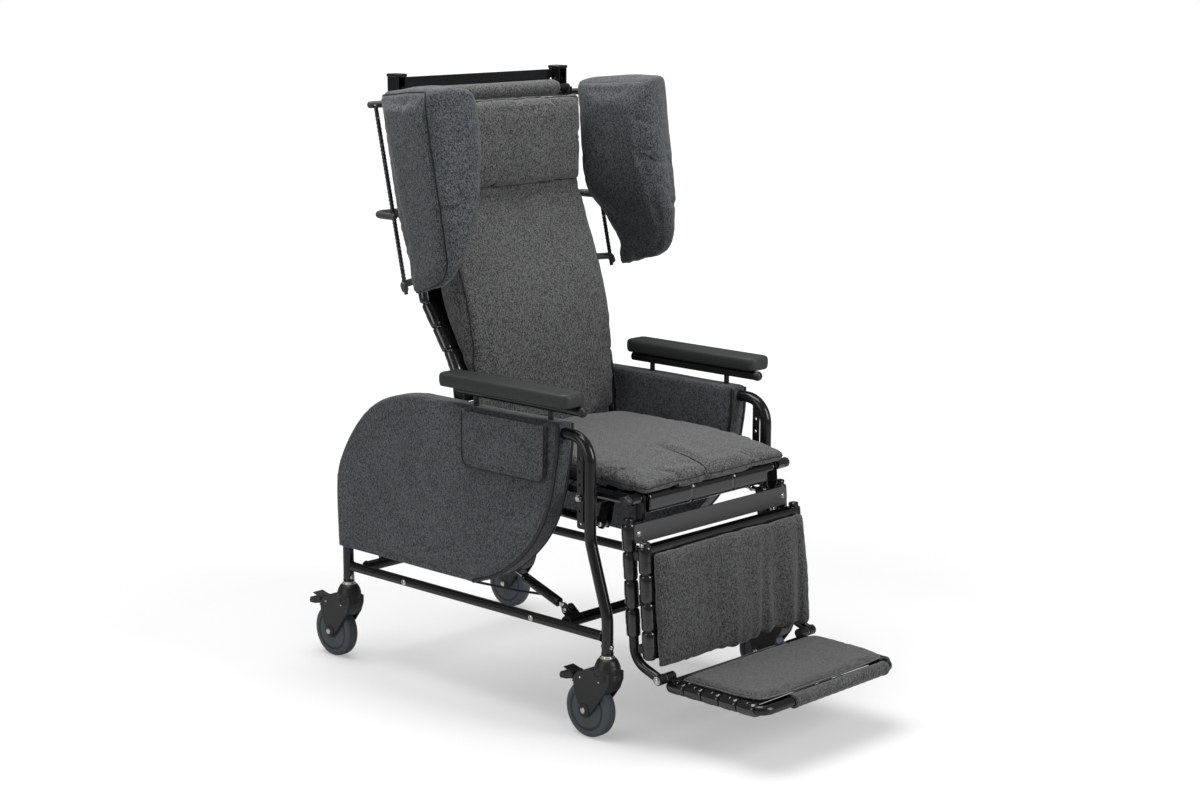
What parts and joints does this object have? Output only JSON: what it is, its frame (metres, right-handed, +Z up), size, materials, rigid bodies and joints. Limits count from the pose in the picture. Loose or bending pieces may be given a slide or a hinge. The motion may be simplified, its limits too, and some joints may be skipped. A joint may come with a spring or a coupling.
{
  "type": "positioning chair",
  "caption": "Tilting and reclining care chair on casters: padded seat, tall back with side wings, armrests with side panels, elevating legrest, flip-up footrest.",
  "frame": {"origin": "middle of the chair's box on the floor", "axes": "+Z up, the sitter faces -Y, the sitter's right is at -X"},
  "size_m": [0.7364, 1.3508, 1.383],
  "materials": {
    "black_powder_coat": "satin black powder coat",
    "zinc_plated": "zinc plated",
    "grey_coated": "satin grey coat",
    "seat_fabric": "heathered charcoal weave",
    "panel_fabric": "heathered blue-grey charcoal weave",
    "armrest_foam": "matte skinned foam",
    "black_strapping": "glossy vinyl strapping",
    "black_nylon": "fine moulded grain",
    "wheel_tread": "smooth grey-blue tread",
    "wheel_disc": "moulded disc"
  },
  "bodies": {
    "base": {"side_frame_right": "black_powder_coat", "side_frame_left": "black_powder_coat", "lower_rail_right": "black_powder_coat", "lower_rail_left": "black_powder_coat", "front_cross_tube": "black_powder_coat", "rear_cross_tube": "black_powder_coat", "height_bar_right": "black_powder_coat", "height_bar_left": "black_powder_coat", "side_panel_right": "panel_fabric", "side_panel_left": "panel_fabric", "side_pocket": "panel_fabric", "arm_tube_right": "black_powder_coat", "arm_tube_left": "black_powder_coat", "arm_pad_right": "armrest_foam", "arm_pad_left": "armrest_foam", "release_cable": "black_nylon"},
    "lever": {"release_lever": "zinc_plated"},
    "seat": {"seat_frame": "black_strapping", "seat_cushion": "seat_fabric", "front_roll": "black_strapping", "pivot_knob_right": "black_nylon", "pivot_knob_left": "black_nylon"},
    "back": {"back_frame": "black_strapping", "back_cushion": "seat_fabric", "head_pillow": "seat_fabric", "top_roll": "seat_fabric", "wing_right": "panel_fabric", "wing_left": "panel_fabric", "push_bar": "black_powder_coat"},
    "legrest": {"legrest_frame": "black_strapping", "calf_frame": "black_strapping", "calf_pad": "seat_fabric", "cross_plate": "grey_coated"},
    "footrest": {"foot_frame": "black_strapping", "foot_pad": "seat_fabric", "foot_sleeve": "black_nylon"},
    "tilt_barrel": {"tilt_cylinder": "black_powder_coat"},
    "tilt_shaft": {"tilt_rod": "zinc_plated"},
    "recline_barrel": {"recline_cylinder": "black_powder_coat"},
    "recline_shaft": {"recline_rod": "zinc_plated"},
    "legrest_barrel": {"legrest_cylinder": "black_powder_coat"},
    "legrest_shaft": {"legrest_rod": "zinc_plated"},
    "caster_front_right": {"caster_fork_front_right": "black_nylon"},
    "wheel_front_right": {"caster_tyre_front_right": "wheel_tread", "caster_disc_front_right": "wheel_disc"},
    "lock_front_right": {"caster_pedal_front_right": "black_nylon"},
    "caster_front_left": {"caster_fork_front_left": "black_nylon"},
    "wheel_front_left": {"caster_tyre_front_left": "wheel_tread", "caster_disc_front_left": "wheel_disc"},
    "lock_front_left": {"caster_pedal_front_left": "black_nylon"},
    "caster_rear_right": {"caster_fork_rear_right": "black_nylon"},
    "wheel_rear_right": {"caster_tyre_rear_right": "wheel_tread", "caster_disc_rear_right": "wheel_disc"},
    "lock_rear_right": {"caster_pedal_rear_right": "black_nylon"},
    "caster_rear_left": {"caster_fork_rear_left": "black_nylon"},
    "wheel_rear_left": {"caster_tyre_rear_left": "wheel_tread", "caster_disc_rear_left": "wheel_disc"},
    "lock_rear_left": {"caster_pedal_rear_left": "black_nylon"}
  },
  "joints": [
    {"name": "seat_tilt", "type": "hinge", "parent": "base", "child": "seat", "pos_m": [0, -0.21164, 0.519], "axis": [-1, 0, 0], "range_deg": [0, 20]},
    {"name": "back_recline", "type": "hinge", "parent": "seat", "child": "back", "pos_m": [0, 0.18736, 0.5235], "axis": [-1, 0, 0], "range_deg": [0, 60]},
    {"name": "legrest_elevate", "type": "hinge", "parent": "seat", "child": "legrest", "pos_m": [0, -0.31764, 0.524], "axis": [-1, 0, 0], "range_deg": [0, 80]},
    {"name": "footrest_flip", "type": "hinge", "parent": "legrest", "child": "footrest", "pos_m": [0, -0.40764, 0.153], "axis": [-1, 0, 0], "range_deg": [0, 80]},
    {"name": "release_press", "type": "hinge", "parent": "base", "child": "lever", "pos_m": [-0.222, 0.51236, 0.272], "axis": [-1, 0, 0], "range_deg": [0, 20]},
    {"name": "swivel_front_right", "type": "hinge", "parent": "base", "child": "caster_front_right", "pos_m": [-0.288, -0.29064, 0.186], "axis": [0, 0, 1], "continuous": true},
    {"name": "roll_front_right", "type": "hinge", "parent": "caster_front_right", "child": "wheel_front_right", "pos_m": [-0.288, -0.24264, 0.0625], "axis": [1, 0, 0], "continuous": true},
    {"name": "lock_press_front_right", "type": "hinge", "parent": "caster_front_right", "child": "lock_front_right", "pos_m": [-0.288, -0.19714, 0.1295], "axis": [-1, 0, 0], "range_deg": [0, 12]},
    {"name": "swivel_front_left", "type": "hinge", "parent": "base", "child": "caster_front_left", "pos_m": [0.288, -0.29064, 0.186], "axis": [0, 0, 1], "continuous": true},
    {"name": "roll_front_left", "type": "hinge", "parent": "caster_front_left", "child": "wheel_front_left", "pos_m": [0.288, -0.24264, 0.0625], "axis": [1, 0, 0], "continuous": true},
    {"name": "lock_press_front_left", "type": "hinge", "parent": "caster_front_left", "child": "lock_front_left", "pos_m": [0.288, -0.19714, 0.1295], "axis": [-1, 0, 0], "range_deg": [0, 12]},
    {"name": "swivel_rear_right", "type": "hinge", "parent": "base", "child": "caster_rear_right", "pos_m": [-0.288, 0.54836, 0.186], "axis": [0, 0, 1], "continuous": true},
    {"name": "roll_rear_right", "type": "hinge", "parent": "caster_rear_right", "child": "wheel_rear_right", "pos_m": [-0.288, 0.59636, 0.0625], "axis": [1, 0, 0], "continuous": true},
    {"name": "lock_press_rear_right", "type": "hinge", "parent": "caster_rear_right", "child": "lock_rear_right", "pos_m": [-0.288, 0.64186, 0.1295], "axis": [-1, 0, 0], "range_deg": [0, 12]},
    {"name": "swivel_rear_left", "type": "hinge", "parent": "base", "child": "caster_rear_left", "pos_m": [0.288, 0.54836, 0.186], "axis": [0, 0, 1], "continuous": true},
    {"name": "roll_rear_left", "type": "hinge", "parent": "caster_rear_left", "child": "wheel_rear_left", "pos_m": [0.288, 0.59636, 0.0625], "axis": [1, 0, 0], "continuous": true},
    {"name": "lock_press_rear_left", "type": "hinge", "parent": "caster_rear_left", "child": "lock_rear_left", "pos_m": [0.288, 0.64186, 0.1295], "axis": [-1, 0, 0], "range_deg": [0, 12]},
    {"name": "tilt_spring_turn", "type": "hinge", "parent": "base", "child": "tilt_barrel", "pos_m": [-0.244, -0.13264, 0.25], "axis": [-1, 0, 0], "range_deg": [-0.5, 23.04]},
    {"name": "tilt_spring_slide", "type": "slide", "parent": "tilt_barrel", "child": "tilt_shaft", "axis": [0, 0.9452, 0.3265], "range_m": [-0.0977, 0.001]},
    {"name": "recline_spring_turn", "type": "hinge", "parent": "seat", "child": "recline_barrel", "pos_m": [-0.17, -0.16764, 0.435], "axis": [-1, 0, 0], "range_deg": [-4.39, 0.5]},
    {"name": "recline_spring_slide", "type": "slide", "parent": "recline_barrel", "child": "recline_shaft", "axis": [0, 0.9995, 0.0324], "range_m": [-0.0756, 0.001]},
    {"name": "legrest_spring_turn", "type": "hinge", "parent": "seat", "child": "legrest_barrel", "pos_m": [0.19, -0.05764, 0.48], "axis": [-1, 0, 0], "range_deg": [-0.5, 7.16]},
    {"name": "legrest_spring_slide", "type": "slide", "parent": "legrest_barrel", "child": "legrest_shaft", "axis": [0, -0.9992, -0.0392], "range_m": [-0.001, 0.0638]}
  ],
  "couplings": [
    {"joint": "tilt_spring_turn", "follows": "seat_tilt", "ratio": 1.127},
    {"joint": "tilt_spring_slide", "follows": "seat_tilt", "m_per_rad": -0.277},
    {"joint": "recline_spring_turn", "follows": "back_recline", "ratio": -0.0649},
    {"joint": "recline_spring_slide", "follows": "back_recline", "m_per_rad": -0.0712},
    {"joint": "legrest_spring_turn", "follows": "legrest_elevate", "ratio": 0.0833},
    {"joint": "legrest_spring_slide", "follows": "legrest_elevate", "m_per_rad": 0.045}
  ]
}
